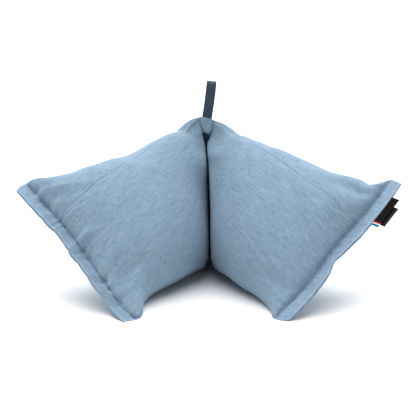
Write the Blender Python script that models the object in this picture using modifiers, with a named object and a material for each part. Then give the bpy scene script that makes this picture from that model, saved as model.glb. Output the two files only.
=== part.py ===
"""Cervical pillow: one cloth tube, filled, sewn flat across its middle and at both ends.

Each end is sewn flat on a line that leans away from the fold's upright one, so a half has a
foot in front and an ear at the back. The halves stand open like a V on their lower edges.
Metres, +Z up. The V opens towards -Y, and its right half runs towards +X.
"""
import math

import bmesh
import bpy
import numpy as np

# The tube of cloth
FLAT_HEIGHT = 0.250        # the tube laid flat, so half its girth
FULL_THICKNESS = 0.113     # each half at its fattest
FILL_PEAK = 0.48           # how far along a half it is fattest
SAG = 0.10                 # extra fatness low down, where the fill settles
SECTION_POWER = 0.89       # 1 is an ellipse, less is boxier
FOLD_POWER = 0.60          # beside the fold, where the cloth fills out at once
SETTLE_DEPTH = 0.006       # how far the underside is pressed flat by its weight
SETTLE_REACH = 0.045       # and how high above the floor that still shows

# The fold in the middle, sewn through both layers
FOLD_X = -0.0030           # the origin is the middle of the whole thing's box, on the surface
FOLD_Y = 0.1324
FOLD_WIDTH = 0.0224
FOLD_THICKNESS = 0.0034
FOLD_TOP_BACK = -0.025     # the fold's top tips forward
FOLD_TOP = {"left": 0.2225, "right": 0.2175}
FOLD_TOP_SHIFT = 0.0010    # and it leans to the right, least at its top
FOLD_FOOT_SHIFT = 0.0055
CONTACT_GAP = (0.0005, 0.0015)      # from the plane where the halves press together
CONTACT_RISE = (0.0, 0.12)          # at these shares of the way up the fold
CONTACT_ROUNDING = (0.003, 0.006)   # at the floor and the fold's top, and half way up

# The flat flange at each end
FLANGE_WIDTH = 0.020
FLANGE_THICKNESS = 0.0044
FLANGE_BOXINESS = 0.4
STITCH_THICKNESS = 0.0032
EAR_SLANT = {"left": 0.006, "right": 0.0016}   # how much higher the stitches end than the edge
FOOT_SLANT = {"left": 0.008, "right": 0.009}   # and how much lower they start

# The corners of each flange's edge, measured from the foot of the fold
CORNERS = {
    # side: foot (x, y, z), ear (x, y, z)
    "left": ((-0.1060, -0.2650, 0.0), (-0.2596, -0.1295, 0.1396)),
    "right": ((0.1064, -0.2630, 0.0), (0.2646, -0.1361, 0.1511)),
}

# How far a half's middle line bows from straight: outwards, back and up
MIDDLE_BOW = (-0.012, -0.016, -0.004)

# Where the top and bottom of a half stand away from the plain section, in mm
OUTLINE_COLUMNS = ("along", "left_top", "left_bottom", "right_top", "right_bottom")
OUTLINE = (
    (0.00, 0.0, 0.0, 0.0, 0.0),
    (0.03, 0.0, 0.1, -1.0, 0.1),
    (0.06, -1.5, 0.3, -3.0, 0.3),
    (0.09, -3.0, 0.4, -5.0, 0.4),
    (0.12, -3.1, 1.0, -5.0, 0.5),
    (0.15, -1.9, 1.2, -2.6, 1.2),
    (0.18, -0.5, -0.8, -1.9, 0.9),
    (0.22, 0.6, -2.8, -0.5, -0.6),
    (0.27, 1.7, -4.0, 1.7, -2.0),
    (0.33, 1.7, -5.4, 2.6, -2.6),
    (0.40, 1.1, -5.4, 5.0, -3.6),
    (0.48, 1.8, -5.8, 4.5, -2.6),
    (0.56, 5.2, -7.8, 3.0, -2.2),
    (0.64, 5.0, -10.2, 0.5, -3.8),
    (0.72, 5.2, -11.8, -3.0, -4.9),
    (0.79, 2.8, -11.6, -4.6, -5.0),
    (0.85, 3.1, -10.3, -5.0, -4.6),
    (0.90, 3.9, -7.0, -7.8, -4.0),
    (0.94, 6.6, -4.0, -12.7, -2.5),
    (0.97, 5.5, -1.5, -8.6, 0.0),
    (1.00, 0.0, 0.0, 0.0, 0.0),
)

# How far inwards each flange's stitches and edge lie off straight lines, and how far the edge
# waves to and fro, in mm. The left flange folds back where it meets the floor.
FLANGE_COLUMNS = (
    "up", "left_stitches", "left_edge", "left_wave", "right_stitches", "right_edge", "right_wave",
)
FLANGE_ROWS = (
    (0.000, 0.0, 0.0, 0.0, 0.0, 0.0, 0.0),
    (0.060, -4.8, 1.0, -5.0, -1.5, -2.2, 0.0),
    (0.120, -6.8, 2.8, -7.0, -3.6, -4.0, 0.0),
    (0.170, -6.0, 5.6, -6.5, -5.0, -5.2, 0.1),
    (0.220, -4.5, 3.0, -5.5, -6.0, -5.3, 0.7),
    (0.270, -3.1, 2.6, -4.5, -6.4, -6.1, 2.1),
    (0.320, -2.2, 3.4, -4.0, -6.5, -6.5, 3.7),
    (0.360, -1.2, 4.1, -3.7, -6.1, -4.3, 4.8),
    (0.385, -0.4, 4.4, -3.6, -5.4, -1.7, 5.2),
    (0.405, 0.2, 4.7, -3.5, -4.9, -0.6, 5.3),
    (0.430, 0.6, 5.5, -3.3, -4.8, -2.0, 5.2),
    (0.460, 1.2, 4.8, -2.9, -4.7, -3.3, 4.9),
    (0.500, 2.3, 4.0, -2.4, -4.5, -4.2, 4.1),
    (0.550, 2.9, 5.6, -1.7, -4.2, -4.9, 3.0),
    (0.600, 3.5, 6.8, -1.2, -4.2, -6.2, 2.0),
    (0.650, 3.7, 6.9, -1.0, -4.8, -5.8, 1.2),
    (0.700, 3.9, 4.4, -0.8, -5.7, -5.6, 0.3),
    (0.760, 3.0, 3.3, -0.8, -6.4, -5.6, -0.5),
    (0.820, 2.1, 2.5, -0.6, -6.4, -5.0, -0.9),
    (0.880, 1.4, 1.3, -0.4, -5.8, -4.4, -0.7),
    (0.940, 0.9, 0.5, -0.2, -4.7, -3.4, -0.4),
    (1.000, 0.0, -0.6, 0.0, -2.5, -2.0, 0.0),
)

# The main creases: soft troughs in the cloth, or swellings where the depth is negative
CREASES = (
    # side, along, around in degrees, then reach, width and depth in mm
    ("left", 0.90, 128, 46, 13, 5.0),
    ("left", 0.07, 22, 30, 9, 3.5),
    ("right", 0.08, 24, 26, 9, 3.0),
    ("right", 0.93, 40, 36, 12, 3.5),
    ("left", 0.94, 52, 34, 10, 2.5),
    ("right", 0.90, 138, 40, 12, 3.0),
    ("left", 0.07, 58, 40, 20, -8.0),
    ("right", 0.07, 47, 40, 15, -9.0),
    ("left", 0.95, 166, 26, 5, 5.0),
    ("left", 0.80, 140, 12, 38, 1.5),
)

# How the fill and the sections change along a half
FOLD_SWELL = (2.10, 0.52)      # how fast it fattens away from the fold
FLANGE_SWELL = (2.05, 0.56)    # and away from the flange
GATHER_POWER = 2.2             # how soon the fold's gathered cloth lets go
STRETCH_POWER = 8              # and how close to the flange its longer line tells
LEAN_POWER = 0.72              # how soon the upright starts to lean
DRAWN_POWER = 6                # how close to the flange its drawn-in stitches tell
BOXY_POWER = 4                 # how close to the fold the sections are boxier
WAVE_POWER = 1.5               # how the edge's wave grows across the flange
HALVINGS = 40                  # enough to find a height exactly

# The steps of the mesh
STEPS_ALONG = 26
STEPS_ACROSS_FLANGE = 4
STEPS_AROUND = 44
FLOOR_ROUNDING = 0.002     # how softly the cloth turns where it lies flat on something

# The loop of tape that it hangs by
TAPE_WIDTH = 0.014
TAPE_THICKNESS = 0.0012
LOOP_HEIGHT = 0.053
LOOP_PART_HEIGHT = 0.006   # where the tape's two ends come apart
LOOP_GAP = 0.010
LOOP_DROP = (1.5, 0.5)     # its side view is a drop, slim at the foot and round at the top
LOOP_X = 0.0015
LOOP_LEAN_FOOT = math.radians(9.6)
LOOP_LEAN_TOP = math.radians(5.0)
LOOP_STEPS = 14

# The labels on the right flange's edge: from the ear down, how long, how far out, and which face
LABELS = {
    # node: start, length, reach, offset to the front
    "side_label": (0.024, 0.0515, 0.0123, 0.0009),
    "care_label": (0.0375, 0.0315, 0.0185, -0.0009),
}
LABEL_THICKNESS = 0.0010
LABEL_STEPS = (12, 3)
TOUCH_GAP = 0.0003
MERGE_DISTANCE = 0.00001

COLOURS = {
    # node: linear colour, roughness
    "pillow_body": ((0.257, 0.402, 0.552, 1.0), 0.92),
    "hang_loop": ((0.040, 0.071, 0.107, 1.0), 0.80),
    "side_label": ((0.008, 0.008, 0.010, 1.0), 0.70),
    "care_label": ((0.014, 0.014, 0.017, 1.0), 0.65),
}


def unit(vector):
    """The same direction at length 1, for one vector or for rows of them."""
    return vector / np.linalg.norm(vector, axis=-1, keepdims=True)


def read_table(rows, columns, name, at):
    """A column of a table as a smooth curve, with a slope at each row that its neighbours set."""
    places = np.array([row[0] for row in rows])
    values = np.array([row[columns.index(name)] for row in rows], float)
    slopes = np.gradient(values, places)
    i = np.clip(np.searchsorted(places, at, side="right") - 1, 0, len(places) - 2)
    step = places[i + 1] - places[i]
    u = np.clip((at - places[i]) / step, 0, 1)
    start = (1 + 2 * u) * (1 - u) ** 2 * values[i] + u * (1 - u) ** 2 * step * slopes[i]
    end = u * u * (3 - 2 * u) * values[i + 1] + u * u * (u - 1) * step * slopes[i + 1]
    return start + end


def keep_above(values, limit, rounding):
    """Values held at a limit or above it, joined by a parabola within this far of the limit."""
    over = values - limit
    turn = (over + rounding) ** 2 / (4 * rounding)
    return limit + np.where(over > rounding, over, np.where(over < -rounding, 0.0, turn))


def half_height(half_thickness):
    """Half the height of an ellipse that the tube's girth goes round, found by halving."""
    girth = 2 * FLAT_HEIGHT
    low = np.zeros_like(half_thickness)
    high = np.full_like(half_thickness, girth / 4)
    for _ in range(HALVINGS):
        middle = (low + high) / 2
        total = middle + half_thickness
        k = ((middle - half_thickness) / total) ** 2
        round_it = math.pi * total * (1 + 3 * k / (10 + np.sqrt(4 - 3 * k)))
        high = np.where(round_it > girth, middle, high)
        low = np.where(round_it > girth, low, middle)
    return middle


def fill(along):
    """The share of the full thickness: steep at both sewn lines, level at the peak."""
    from_fold = np.clip(along / FILL_PEAK, 0, 1)
    from_flange = np.clip((1 - along) / (1 - FILL_PEAK), 0, 1)
    by_fold = (1 - (1 - from_fold) ** FOLD_SWELL[0]) ** FOLD_SWELL[1]
    return by_fold * (1 - (1 - from_flange) ** FLANGE_SWELL[0]) ** FLANGE_SWELL[1]


def side_sign(side):
    return 1 if side == "right" else -1


def fold_line(side):
    """The top and bottom of the fold's sewn line on this side."""
    half = side_sign(side) * FOLD_WIDTH / 2
    top = np.array([half + FOLD_TOP_SHIFT, FOLD_TOP_BACK, FOLD_TOP[side]])
    return top, np.array([half + FOLD_FOOT_SHIFT, 0.0, -FLOOR_ROUNDING])


def flange_frame(side):
    """The flange's foot and ear on the stitched line, the way into the fill, and its front."""
    foot, ear = (np.array(corner) for corner in CORNERS[side])
    top, bottom = fold_line(side)
    outwards = unit((foot + ear) / 2 - (top + bottom) / 2)
    upwards = unit(ear - foot)
    inwards = -unit(outwards - np.dot(outwards, upwards) * upwards)
    foot, ear = foot - upwards * FOOT_SLANT[side], ear + upwards * EAR_SLANT[side]
    facing = unit(np.cross(unit(ear - foot), inwards)) * side_sign(side)
    return foot + inwards * FLANGE_WIDTH, ear + inwards * FLANGE_WIDTH, inwards, facing


def flange_point(side, up, out, lift):
    """A place on the flange: up it from foot to ear, out from its stitches, lifted off its face."""
    foot, ear, inwards, facing = flange_frame(side)
    stitches = read_table(FLANGE_ROWS, FLANGE_COLUMNS, side + "_stitches", up) / 1000
    edge = read_table(FLANGE_ROWS, FLANGE_COLUMNS, side + "_edge", up) / 1000
    wave = read_table(FLANGE_ROWS, FLANGE_COLUMNS, side + "_wave", up) / 1000
    share = np.minimum(out / FLANGE_WIDTH, 1.0)
    slant = (up * EAR_SLANT[side] - (1 - up) * FOOT_SLANT[side]) * share ** 2
    place = foot + up[..., None] * (ear - foot) - slant[..., None] * unit(ear - foot)
    place = place + (stitches + (edge - stitches) * share - out)[..., None] * inwards
    return place + (wave * share ** WAVE_POWER + lift)[..., None] * facing


def half_sections(side):
    """The rows of one half, from the fold's sewn line to the flange's edge.

    A section goes round from its top over the front to its bottom and back. Its girth is the
    tube's, so it is lower where it is fatter, and its upright turns from the fold's to the
    flange's as it goes along.
    """
    top, bottom = fold_line(side)
    foot, ear, inwards, _ = flange_frame(side)
    along = 0.5 - 0.5 * np.cos(np.pi * np.linspace(0, 1, STEPS_ALONG))
    turn = 2 * np.pi * np.arange(STEPS_AROUND) / STEPS_AROUND
    high, front = np.cos(turn), np.sin(turn)

    ends_half = (FOLD_THICKNESS + (STITCH_THICKNESS - FOLD_THICKNESS) * along) / 2
    thick = FULL_THICKNESS / 2 * fill(along) + ends_half
    gathered = 1 - np.linalg.norm(top - bottom) / FLAT_HEIGHT
    stretched = np.linalg.norm(ear - foot) / FLAT_HEIGHT - 1
    height = half_height(thick) * (1 - gathered * (1 - along) ** GATHER_POWER)
    height = height * (1 + stretched * along ** STRETCH_POWER)

    start, end = (top + bottom) / 2, (foot + ear) / 2
    bow = np.array(MIDDLE_BOW) * np.array([side_sign(side), 1, 1])
    pull = (start + end) / 2 + bow
    a = along[:, None]
    middle = (1 - a) ** 2 * start + 2 * a * (1 - a) * pull + a ** 2 * end
    forwards = unit(np.gradient(middle, along, axis=0))

    upright, leaning = unit(top - bottom), unit(ear - foot)
    lean = math.acos(float(np.dot(upright, leaning)))
    share = a ** LEAN_POWER
    up = (np.sin((1 - share) * lean) * upright + np.sin(share * lean) * leaning) / math.sin(lean)
    facing = unit(np.cross(up, forwards)) * -side_sign(side)

    top_shift = read_table(OUTLINE, OUTLINE_COLUMNS, side + "_top", along) / 1000
    bottom_shift = read_table(OUTLINE, OUTLINE_COLUMNS, side + "_bottom", along) / 1000
    shift = np.where(high > 0, top_shift[:, None], bottom_shift[:, None])
    rise = (height[:, None] + shift) * high
    settle = 1 - SAG * high * np.sin(np.pi * a)
    power = SECTION_POWER - (SECTION_POWER - FOLD_POWER) * (1 - a) ** BOXY_POWER
    swell = thick[:, None] * np.sign(front) * np.abs(front) ** power * settle
    swell = swell - np.sign(front) * crease_depth(side, along, turn, middle)
    rows = middle[:, None] + rise[..., None] * up[:, None] + swell[..., None] * facing[:, None]

    drawn = read_table(FLANGE_ROWS, FLANGE_COLUMNS, side + "_stitches", (high + 1) / 2) / 1000
    rows = rows + (a ** DRAWN_POWER * drawn)[..., None] * inwards

    pressed = np.sqrt(np.sin(np.pi * np.clip(a, 0, 1))) * np.exp(-rows[..., 2] / SETTLE_REACH)
    rows[..., 2] -= SETTLE_DEPTH * pressed

    outs = FLANGE_WIDTH * np.linspace(0, 1, STEPS_ACROSS_FLANGE + 1)[1:]
    face = FLANGE_THICKNESS / 2 * np.sign(front) * np.abs(front) ** FLANGE_BOXINESS
    flange = [flange_point(side, (high + 1) / 2, np.full_like(high, out), face) for out in outs]
    rows = np.concatenate([rows, np.array(flange)])

    sign = side_sign(side)
    lift = np.clip(rows[..., 2] / FOLD_TOP[side], 0, 1)
    contact = FOLD_FOOT_SHIFT + (FOLD_TOP_SHIFT - FOLD_FOOT_SHIFT) * lift
    rounding = CONTACT_ROUNDING[0] + (CONTACT_ROUNDING[1] - CONTACT_ROUNDING[0]) * 4 * lift * (1 - lift)
    gap = np.interp(lift, CONTACT_RISE, CONTACT_GAP)
    rows[..., 0] = contact + sign * keep_above(sign * (rows[..., 0] - contact), gap, rounding)
    rows[..., 2] = keep_above(rows[..., 2], 0.0, FLOOR_ROUNDING)
    return rows


def crease_depth(side, along, turn, middle):
    """The depth of this half's creases: round-ended troughs that run along the tube."""
    length = np.linalg.norm(middle[-1] - middle[0])
    depth = np.zeros((len(along), len(turn)))
    for name, at, degrees, reach, width, deep in CREASES:
        if name == side:
            lengthwise = (along - at)[:, None] * length * 1000 / reach
            round_it = (turn - math.radians(degrees))[None, :] * FLAT_HEIGHT / math.pi * 1000 / width
            depth += deep / 1000 * np.exp(-2 * lengthwise ** 2 - round_it ** 2)
    return depth


def loft_mesh(name, rows):
    """A closed skin over rows of points, with its two flat ends closed across their thickness."""
    count, around = rows.shape[:2]
    mesh = bmesh.new()
    grid = [[mesh.verts.new(point) for point in row] for row in rows]
    for i in range(count - 1):
        for j in range(around):
            k = (j + 1) % around
            mesh.faces.new((grid[i][j], grid[i][k], grid[i + 1][k], grid[i + 1][j]))
    for row in (grid[0], grid[-1]):
        for j in range(around // 2):
            corners = [row[j], row[j + 1], row[-j - 1], row[-j % around]]
            mesh.faces.new(list(dict.fromkeys(corners)))
    bmesh.ops.recalc_face_normals(mesh, faces=mesh.faces)
    data = bpy.data.meshes.new(name)
    mesh.to_mesh(data)
    mesh.free()
    return data


def add_part(name, data, collection):
    """An object of the collection with this mesh or curve and its own material."""
    colour, roughness = COLOURS[name]
    material = bpy.data.materials.new(name)
    material.use_nodes = True
    shader = material.node_tree.nodes["Principled BSDF"]
    shader.inputs["Base Color"].default_value = colour
    shader.inputs["Roughness"].default_value = roughness
    shader.inputs["Metallic"].default_value = 0.0
    data.materials.append(material)
    part = bpy.data.objects.new(name, data)
    part.location = (FOLD_X, FOLD_Y, 0.0)
    collection.objects.link(part)
    return part


def add_body(collection):
    """The filled tube: the left half's rows from its edge to the fold, then the right half's."""
    rows = np.concatenate([half_sections("left")[::-1], half_sections("right")])
    data = loft_mesh("pillow_body", rows)
    data.shade_smooth()
    return add_part("pillow_body", data, collection)


def loop_outline(offset):
    """The loop from the side, a drop with its round end up, moved outwards by an offset."""
    angle = np.linspace(0, np.pi, LOOP_STEPS)
    share = (1 - np.cos(angle)) / 2
    inner_top = LOOP_HEIGHT - TAPE_THICKNESS
    height = LOOP_PART_HEIGHT + share * (inner_top - LOOP_PART_HEIGHT)
    slim, blunt = LOOP_DROP
    widest = slim / (slim + blunt)
    half_gap = (share / widest) ** slim * ((1 - share) / (1 - widest)) ** blunt * LOOP_GAP / 2
    side = np.stack([half_gap, height], axis=1)
    slope = np.gradient(side, angle, axis=0)
    slope[-1] = (-1, 0)
    normal = unit(np.stack([slope[:, 1], -slope[:, 0]], axis=1))
    side = side + offset * normal
    mirrored = side[::-1] * (-1, 1)
    return np.concatenate([side, mirrored[1:]])


def add_loop(collection):
    """The tape loop: an outline with its opening, as wide as the tape, leaning to the right."""
    curve = bpy.data.curves.new("hang_loop", "CURVE")
    curve.dimensions = "2D"
    curve.fill_mode = "BOTH"
    curve.extrude = TAPE_WIDTH / 2
    outer = loop_outline(TAPE_THICKNESS)
    foot = [(-TAPE_THICKNESS, 0.0), (TAPE_THICKNESS, 0.0)]
    for outline in (np.concatenate([foot, outer]), loop_outline(0.0)[:-1]):
        spline = curve.splines.new("POLY")
        spline.points.add(len(outline) - 1)
        for point, (across, height) in zip(spline.points, outline):
            point.co = (across, height, 0.0, 1.0)
        spline.use_cyclic_u = True
    flat = bpy.data.objects.new("loop_outline", curve)
    collection.objects.link(flat)
    bpy.context.view_layer.update()
    graph = bpy.context.evaluated_depsgraph_get()
    data = bpy.data.meshes.new_from_object(flat.evaluated_get(graph))
    data.name = "hang_loop"
    bpy.data.objects.remove(flat)

    mesh = bmesh.new()
    mesh.from_mesh(data)
    bmesh.ops.remove_doubles(mesh, verts=mesh.verts, dist=MERGE_DISTANCE)
    bmesh.ops.recalc_face_normals(mesh, faces=mesh.faces)
    foot_z = (FOLD_TOP["left"] + FOLD_TOP["right"]) / 2 + FOLD_THICKNESS / 2 + TOUCH_GAP
    bend = (math.tan(LOOP_LEAN_FOOT) - math.tan(LOOP_LEAN_TOP)) / (2 * LOOP_HEIGHT)
    for vert in mesh.verts:
        across, height, wide = vert.co
        lean = height * math.tan(LOOP_LEAN_FOOT) - bend * height ** 2
        drop = wide * (math.tan(LOOP_LEAN_FOOT) - 2 * bend * height)
        vert.co = (LOOP_X + wide + lean, FOLD_TOP_BACK + across, foot_z + height - drop)
    mesh.to_mesh(data)
    mesh.free()
    return add_part("hang_loop", data, collection)


def add_label(name, collection):
    """A label that stands out of the right flange's edge, as an open sheet given its thickness."""
    start, length, reach, offset = LABELS[name]
    foot, ear, _, _ = flange_frame("right")
    size = np.linalg.norm(ear - foot) - EAR_SLANT["right"] - FOOT_SLANT["right"]
    up = 1 - (start + length * np.linspace(0, 1, LABEL_STEPS[0])) / size
    out = FLANGE_WIDTH + TOUCH_GAP + reach * np.linspace(0, 1, LABEL_STEPS[1])
    ups, outs = np.meshgrid(up, out, indexing="ij")
    points = flange_point("right", ups, outs, np.full_like(ups, offset))
    mesh = bmesh.new()
    grid = [[mesh.verts.new(point) for point in row] for row in points]
    for i in range(LABEL_STEPS[0] - 1):
        for j in range(LABEL_STEPS[1] - 1):
            mesh.faces.new((grid[i][j], grid[i + 1][j], grid[i + 1][j + 1], grid[i][j + 1]))
    data = bpy.data.meshes.new(name)
    mesh.to_mesh(data)
    mesh.free()
    part = add_part(name, data, collection)
    solid = part.modifiers.new("thickness", "SOLIDIFY")
    solid.thickness = LABEL_THICKNESS
    solid.offset = 0.0
    return part


def main():
    for old in list(bpy.data.objects):
        bpy.data.objects.remove(old)
    collection = bpy.data.collections.new("cervical_pillow")
    bpy.context.scene.collection.children.link(collection)
    add_body(collection)
    add_loop(collection)
    for name in LABELS:
        add_label(name, collection)


main()
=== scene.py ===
"""The look of a cervical pillow: a filled tube of slub cloth that stands open like a V."""
import math

import bpy
import numpy as np
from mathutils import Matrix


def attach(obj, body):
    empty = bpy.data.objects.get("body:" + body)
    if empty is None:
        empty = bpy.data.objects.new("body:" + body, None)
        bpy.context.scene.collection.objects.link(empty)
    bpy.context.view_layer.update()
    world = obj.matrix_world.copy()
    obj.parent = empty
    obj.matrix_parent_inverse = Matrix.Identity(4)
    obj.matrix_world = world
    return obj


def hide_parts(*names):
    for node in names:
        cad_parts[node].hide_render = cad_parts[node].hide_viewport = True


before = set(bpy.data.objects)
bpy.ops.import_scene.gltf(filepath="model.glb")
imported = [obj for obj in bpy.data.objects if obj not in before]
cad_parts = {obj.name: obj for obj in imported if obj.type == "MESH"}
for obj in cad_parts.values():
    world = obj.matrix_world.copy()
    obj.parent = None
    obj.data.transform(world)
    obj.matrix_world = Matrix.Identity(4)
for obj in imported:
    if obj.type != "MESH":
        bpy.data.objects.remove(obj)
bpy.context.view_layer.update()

# The view
# A long lens from a little above, aimed at the fold in the middle of the pillow. Sizes are in
# metres, and the pillow is worked out round its fold's foot, which stands at FOLD_X, FOLD_Y.
FOLD_X, FOLD_Y = -0.0030, 0.1324
VIEW_AIM = (0.0, FOLD_Y, 0.080)
VIEW_RISE = math.radians(15.05)
VIEW_DISTANCE = 1.6
VIEW_FOCAL_PIXELS = 1066.7
VIEW_PIXELS = 416
SENSOR_MM = 36.0
NEAREST_SEEN, FURTHEST_SEEN = 0.05, 50.0

camera = bpy.data.objects.new("camera", bpy.data.cameras.new("camera"))
bpy.context.scene.collection.objects.link(camera)
camera.data.sensor_width = SENSOR_MM
camera.data.lens = SENSOR_MM * VIEW_FOCAL_PIXELS / VIEW_PIXELS
camera.data.clip_start, camera.data.clip_end = NEAREST_SEEN, FURTHEST_SEEN
camera.location = (
    VIEW_AIM[0],
    VIEW_AIM[1] - VIEW_DISTANCE * math.cos(VIEW_RISE),
    VIEW_AIM[2] + VIEW_DISTANCE * math.sin(VIEW_RISE),
)
camera.rotation_euler = (math.pi / 2 - VIEW_RISE, 0.0, 0.0)
bpy.context.scene.camera = camera

# The cover
# One tube of light blue slub cloth, linen with cotton, 500 mm round and filled. It is sewn flat
# across its middle, where it folds, and again 20 mm inside both ends, whose turned edges stand
# out as flanges. Its closing seam starts at the fold's top and comes down over the front.
FLAT_HEIGHT = 0.250
GIRTH = 2 * FLAT_HEIGHT
FULL_THICKNESS = 0.113

# Where a half is fullest, as a share of the way from fold to flange, how steeply the fill rises
# from both, and how much fuller it is low down than high up
FILL_PEAK = 0.48
FOLD_SWELL = (2.10, 0.52)
FLANGE_SWELL = (2.05, 0.56)
SAG = 0.10

# A section is an ellipse where its power is 1, and boxier below it. It is boxiest at the fold,
# but for its foot.
SECTION_POWER, FOLD_POWER, FLANGE_BOXINESS = 0.89, 0.60, 0.4
BOXY_POWER, FOOT_BOXINESS = 4, 3.5

# How a half's middle line bows, and the powers of the way from fold to flange by which its
# sections are gathered, stretched, leant and drawn in
MIDDLE_BOW = (-0.012, -0.016, -0.004)
GATHER_POWER, STRETCH_POWER = 2.2, 8
LEAN_POWER, DRAWN_POWER = 0.72, 6

# The fold's flat band, and the flanges. Each flange's edge is a little shorter than its stitched
# line, so it slants in at its ear and its foot.
FOLD_WIDTH, FOLD_THICKNESS = 0.0224, 0.0034
FOLD_TOP_BACK = -0.025
FOLD_TOP_SHIFT, FOLD_FOOT_SHIFT = 0.0010, 0.0055
FOLD_TOP = {"left": 0.2225, "right": 0.2175}
FLANGE_WIDTH = 0.020
STITCH_THICKNESS = 0.0032
EAR_SLANT = {"left": 0.006, "right": 0.0016}
FOOT_SLANT = {"left": 0.008, "right": 0.009}
SLANT_POWER, WAVE_POWER = 2, 1.5
CORNERS = {
    # side: the edge's foot (x, y, z) and its ear (x, y, z)
    "left": ((-0.1060, -0.2650, 0.0), (-0.2596, -0.1295, 0.1396)),
    "right": ((0.1064, -0.2630, 0.0), (0.2646, -0.1361, 0.1511)),
}

# Where the cloth rests. It settles onto the floor, and each half presses the other flat along a
# line that bends from foot to top, with a slim gap at two shares of the height. The corner
# beside the gap is rounder at the foot.
SETTLE_DEPTH, SETTLE_REACH = 0.006, 0.045
FLOOR_ROUNDING = 0.002
CONTACT_FOOT, CONTACT_TOP, CONTACT_POWER = 0.0057, -0.0060, 4
CONTACT_GAP, CONTACT_RISE = (0.0004, 0.0012), (0.15, 0.60)
FOOT_CORNER, TOP_CORNER, CORNER_POWER = {"left": 0.017, "right": 0.021}, 0.003, 2

# How far the silhouette's top and bottom stand off a plain tube's, in mm
OUTLINE_COLUMNS = ("along", "left_top", "left_bottom", "right_top", "right_bottom")
OUTLINE = (
    (0.00, 0.0, 0.0, 0.0, 0.0),
    (0.03, 0.0, 0.1, -1.0, 0.1),
    (0.06, -2.5, 0.3, -3.0, 0.3),
    (0.09, -6.0, 0.4, -5.0, 0.4),
    (0.12, -4.2, 1.0, -5.0, 0.5),
    (0.15, -1.9, 1.2, -2.6, 1.2),
    (0.18, -0.5, -0.8, -1.9, 0.9),
    (0.22, 0.6, -2.8, -0.5, -0.6),
    (0.27, 1.7, -4.0, 1.7, -2.0),
    (0.33, 1.7, -5.4, 2.6, -2.6),
    (0.40, 1.1, -5.4, 5.0, -3.6),
    (0.48, 1.8, -5.8, 4.5, -2.6),
    (0.56, 5.2, -7.8, 3.0, -2.2),
    (0.64, 5.0, -10.2, 0.5, -3.8),
    (0.72, 5.2, -11.8, -3.0, -4.9),
    (0.79, 2.8, -11.6, -4.6, -5.0),
    (0.85, 3.1, -9.8, -5.0, -4.6),
    (0.90, 3.9, -4.0, -7.8, -4.0),
    (0.94, 6.6, 1.0, -12.7, -2.5),
    (0.97, 5.5, 2.0, -8.6, 0.0),
    (1.00, 0.0, 0.0, 0.0, 0.0),
)

# How far inwards each flange's stitches and edge lie off straight lines, and how far the edge
# waves to and fro, in mm. The left flange folds back where it meets the floor.
FLANGE_COLUMNS = (
    "up", "left_stitches", "left_edge", "left_wave", "right_stitches", "right_edge", "right_wave",
)
FLANGE_ROWS = (
    (0.000, 0.0, 0.0, 0.0, 0.0, 0.0, 0.0),
    (0.060, -4.8, 1.0, -5.0, -1.5, -2.2, 0.0),
    (0.120, -6.8, 2.8, -7.0, -3.6, -4.0, 0.0),
    (0.170, -6.0, 5.6, -6.5, -5.0, -5.2, 0.1),
    (0.220, -4.5, 3.0, -5.5, -6.0, -5.3, 0.7),
    (0.270, -3.1, 2.6, -4.5, -6.4, -6.1, 2.1),
    (0.320, -2.2, 3.4, -4.0, -6.5, -6.5, 3.7),
    (0.360, -1.2, 4.1, -3.7, -6.1, -4.3, 4.8),
    (0.385, -0.4, 4.4, -3.6, -5.4, -1.7, 5.2),
    (0.405, 0.2, 4.7, -3.5, -4.9, -0.6, 5.3),
    (0.430, 0.6, 5.5, -3.3, -4.8, -2.0, 5.2),
    (0.460, 1.2, 4.8, -2.9, -4.7, -3.3, 4.9),
    (0.500, 2.3, 4.0, -2.4, -4.5, -4.2, 4.1),
    (0.550, 2.9, 5.6, -1.7, -4.2, -4.9, 3.0),
    (0.600, 3.5, 6.8, -1.2, -4.2, -6.2, 2.0),
    (0.650, 3.7, 6.9, -1.0, -4.8, -5.8, 1.2),
    (0.700, 3.9, 4.4, -0.8, -5.7, -5.6, 0.3),
    (0.760, 3.0, 3.3, -0.8, -6.4, -5.6, -0.5),
    (0.820, 2.1, 2.5, -0.6, -6.4, -5.0, -0.9),
    (0.880, 1.4, 1.3, -0.4, -5.8, -4.4, -0.7),
    (0.940, 0.9, 0.5, -0.2, -4.7, -3.4, -0.4),
    (1.000, 0.0, -0.6, 0.0, -2.5, -2.0, 0.0),
)

# The broad creases, or swellings where the depth is negative. Each is a bell both ways, and the
# first value makes it end sooner along its reach.
CREASE_ENDS = 2
CREASES = (
    # side, along, around in degrees, then reach, width and depth in mm
    ("left", 0.90, 128, 46, 13, 5.0),
    ("left", 0.06, 17, 22, 9, 5.0),
    ("right", 0.08, 20, 22, 9, 1.5),
    ("right", 0.93, 40, 36, 12, 3.5),
    ("left", 0.94, 52, 34, 10, 2.5),
    ("right", 0.90, 138, 40, 12, 3.0),
    ("left", 0.07, 58, 40, 20, -8.0),
    ("right", 0.07, 47, 40, 15, -9.0),
    ("right", 0.09, 74, 44, 26, -7.0),
    ("left", 0.16, 95, 50, 60, 5.0),
    ("left", 0.95, 166, 26, 5, 5.0),
    ("left", 0.80, 140, 12, 38, 1.5),
)

# How far round the front from the top the closing seam lies, in mm
SEAM_COLUMNS = ("along", "left", "right")
SEAM_ROWS = (
    (0.00, 0, 0),
    (0.22, 9, 14),
    (0.35, 20, 27),
    (0.50, 33, 39),
    (0.65, 51, 51),
    (0.80, 63, 63),
    (0.85, 68, 67),
    (0.90, 71, 70),
    (1.00, 75, 81),
)


def unit(vector):
    """The same direction at length 1."""
    return vector / np.linalg.norm(vector, axis=-1, keepdims=True)


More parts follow.
